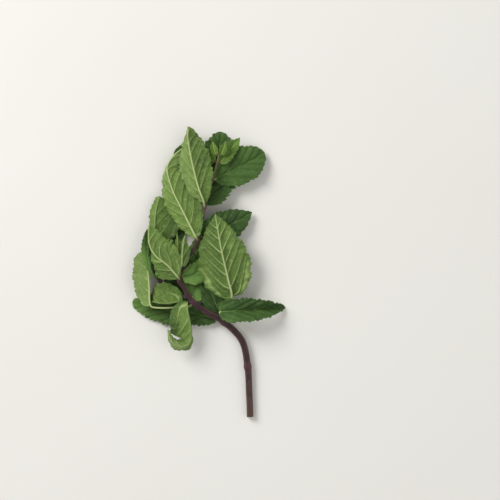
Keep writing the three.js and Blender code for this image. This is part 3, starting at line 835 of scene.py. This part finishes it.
UPPER_LEAVES = {
    "leaf_1_left": dict(
        start=NODE_1, width=17, full=0.4, wide_at=0.5, point=0.05, teeth=1.4, roll=[0],
        left=[12], right=[12, 8, 4, 4], painted_light=(0.4, 0), tip_painted_light=1.8,
        stalk=[(3.5, -28, 3.6)],
        blade=[(-7, -25, 1.6), (-26, -22.5, 0.8), (-45.5, -17.8, 0.4)],
    ),
    "leaf_1_right": dict(
        start=NODE_1, width=15.5, full=0.38, wide_at=0.35, lobes=(0.1, 0.1), roll=[0],
        left=[6, 29, 38, 45], right=[6, 29, 38, 45], painted_light=(-0.1, 0.5),
        stalk=[(6.8, -25, 10.2), (7.4, -23.2, 11.4)],
        blade=[(16, -22.6, 12.6), (30, -21.8, 9), (45.5, -21, 0.4)],
    ),
    "leaf_1_back": dict(
        start=NODE_1, width=13, roll=[0], left=[2], right=[6], painted_light=(-1, -1),
        stalk=[(7.6, -25.8, 5.2)],
        blade=[(4.6, -20, 5.5), (0.8, -10, 5.3), (-0.8, 0.5, 4.5)],
    ),
    "leaf_2_back": dict(
        start=NODE_2, width=19, full=0.45, lobes=(0.1, 0.2), roll=[0], left=[8], right=[0],
        painted_light=(1.6, 1.8),
        stalk=[(-9.4, -14, 4.9)],
        blade=[(-7.5, -6, 3.2), (-6.3, 7, 2.2), (-6, 22, 1.4)],
    ),
    "side_leaf_middle": dict(
        start=SIDE_NODE_2, width=12, full=0.5, wide_at=0.6, halves=([0.5], [0.95]), roll=[0],
        left=[10], right=[-28], painted_light=(2.5, 2.5, 2.3, -1, -1.6), tip_painted_light=-5, rib=0.2,
        stalk=[(-31.2, -3.6, 7.4)],
        blade=[(-34.6, 2, 10.7), (-36.4, 11, 11), (-36.6, 19, 10.6), (-36.3, 25.5, 9.6)],
    ),
    "side_leaf_low": dict(
        start=SIDE_NODE_2, width=12, full=0.5, roll=[0], left=[6], right=[6], painted_light=(-0.9, -0.9),
        stalk=[(-26.4, -6.4, 3)],
        blade=[(-20, -8.4, 1.9), (-10.5, -10.4, 1.2)],
    ),
    "side_leaf_under": dict(
        start=SIDE_NODE_3, width=17, full=0.45, roll=[0], left=[2], right=[2], painted_light=(-0.8, -0.6),
        stalk=[(-29, 17.5, 3.4)],
        blade=[(-23, 24, 2.2), (-13.5, 34.5, 1.3)],
    ),
    "leaf_3_right": dict(
        start=NODE_3, width=13, full=0.5, roll=[0], left=[8], right=[8], painted_light=(2, 1.8),
        stalk=[(-15, -2.5, 8)],
        blade=[(-8.5, -1, 7), (7.5, 8.5, 5)],
    ),
    "leaf_4_right": dict(
        start=NODE_4, width=20, full=0.5, roll=[0], left=[8], right=[8], painted_light=(0, 0),
        stalk=[(-4, 21, 8.6)],
        blade=[(7.5, 25.5, 6.8), (25.5, 35.5, 3.5)],
    ),
    "leaf_5_back": dict(
        start=NODE_5, width=27, point=-0.05, teeth=1.8, roll=[0], left=[0], right=[8],
        painted_light=(0.5, 0.4),
        stalk=[(-1.5, 41.5, 7)],
        blade=[(2.5, 54.5, 4), (5.5, 69.5, 1.4), (7, 83.5, 0.4)],
    ),
    "leaf_6_left": dict(
        start=NODE_6, width=17, full=0.4, wide_at=0.55, point=0, roll=[0], left=[8], right=[8],
        painted_light=(-0.4, -0.4),
        stalk=[(-1.4, 55.9, 8.4)],
        blade=[(-7.5, 62, 5.2), (-13.8, 68.6, 3.2), (-19.4, 73.4, 1.8)],
    ),
    "leaf_6_right": dict(
        start=NODE_6, width=22, full=0.45, wide_at=0.5, point=0.1, roll=[0], left=[8], right=[8],
        painted_light=(0.8, 0.7),
        stalk=[(4.8, 55.4, 7.2)],
        blade=[(13.5, 60, 6.1), (23.5, 65.4, 5.7), (33, 71, 3.5)],
    ),
}
make_leaves(UPPER_LEAVES, GROWN, first_seed=20)


# ---- Young leaves ----
# The small leaves of the growing tip and of the bud in an axil. They are thin, yellow green
# and half folded, and have not opened out yet.

YOUNG_LEAVES = {
    "bud_leaf_left": dict(
        start=BUD_NODE, width=5.5, roll=[180], left=[20], right=[20], painted_light=(-0.6, -0.4),
        stalk=[(-17.2, 3.6, 8.8)],
        blade=[(-17.9, 11, 7.5), (-18.6, 22.4, 7.2)],
    ),
    "leaf_7_left": dict(
        start=NODE_7, width=8, roll=[0], left=[15], right=[15], painted_light=(0, 0.2),
        stalk=[(3, 65.5, 9.8)],
        blade=[(-0.5, 69, 9.6), (-2, 75, 8)],
    ),
    "leaf_7_right": dict(
        start=NODE_7, width=9, roll=[0], left=[15], right=[15], painted_light=(0, 0.2),
        stalk=[(7, 65, 9)],
        blade=[(12, 71.5, 9), (18.5, 79.5, 8)],
    ),
    "tip_leaf_left": dict(
        start=TIP, width=4.5, roll=[0], left=[25], right=[25], painted_light=(0.2, 0.2),
        stalk=[(4.4, 69.5, 11.2)],
        blade=[(3, 73, 11.4), (2.4, 77, 10.6)],
    ),
    "tip_leaf_right": dict(
        start=TIP, width=4.5, roll=[0], left=[25], right=[25], painted_light=(0.2, 0.2),
        stalk=[(7.4, 69.6, 11.8)],
        blade=[(8.8, 73, 13), (10, 77, 12.6)],
    ),
}
YOUNG = {
    "upper": blade_material(
        "young_upper", body="#557a2c", vein="#86a048", dark="#3f6122", light="#6f933a",
        sunlit="#8fae55", roughness=0.45, raised=-0.25,
    ),
    "under": blade_material(
        "young_under", body="#5f7f31", vein="#93a955", dark="#48672a", light="#7c9a45",
        sunlit="#93ac5c", roughness=0.55, raised=0.2,
    ),
    "rib": rib_material("rib_young", "#8ea350"),
}
make_leaves(YOUNG_LEAVES, YOUNG, first_seed=40)


# ---- Table, light and camera ----
# A pale matt table top, lit softly by a window and a fainter light across from it. The
# camera looks straight down. Places of lights, and their sizes, are in metres.

TABLE_SIZE = 4  # in metres
TABLE_DROP = 0.05  # how far the table top lies under the sprig's lowest point
FRAME_WIDTH = 297.5  # width of table that the picture spans
CAMERA_HEIGHT = 1200
VIEW_CENTRE = (24.4, 13.1)  # the point of the table that the camera is over
SENSOR = 36  # width of the camera's film, in the millimetres that its lens is given in
ROOM_COLOUR = (0.98, 0.99, 1, 1)
ROOM_LIGHT = 0.45


def table_top():
    """A pale matt surface with a faint uneven tint."""
    bpy.ops.object.select_all(action="DESELECT")
    bpy.ops.mesh.primitive_plane_add(size=TABLE_SIZE, location=(0, 0, -TABLE_DROP * MM))
    floor = bpy.context.object
    floor.name = "table_top"
    material, tree, shader = new_material("table_matt")
    colour = painted(tree, "#e9e6de", [(noise(tree, own_place(tree), 6, 2), "#eeece6")])
    tree.links.new(colour, shader.inputs["Base Color"])
    shader.inputs["Roughness"].default_value = 0.85
    floor.data.materials.append(material)


def soft_light(name, place, size, power):
    """A square of soft light that faces the middle of the sprig."""
    bpy.ops.object.light_add(type="AREA", location=place)
    light = bpy.context.object
    light.name = name
    light.data.size = size
    light.data.energy = power
    light.rotation_euler = (-Vector(place)).to_track_quat("-Z", "Y").to_euler()


table_top()
soft_light("window_light", place=(-0.9, 0.8, 1.0), size=0.8, power=19)
soft_light("fill_light", place=(0.8, -0.5, 1.2), size=1.4, power=4)
world = bpy.data.worlds.new("room")
bpy.context.scene.world = world
world.use_nodes = True
world.node_tree.nodes["Background"].inputs["Color"].default_value = ROOM_COLOUR
world.node_tree.nodes["Background"].inputs["Strength"].default_value = ROOM_LIGHT
bpy.context.scene.view_settings.view_transform = "Standard"

bpy.ops.object.camera_add(location=[at * MM for at in (*VIEW_CENTRE, CAMERA_HEIGHT)])
camera = bpy.context.object
camera.data.sensor_width = SENSOR
camera.data.lens = SENSOR * CAMERA_HEIGHT / FRAME_WIDTH
bpy.context.scene.camera = camera
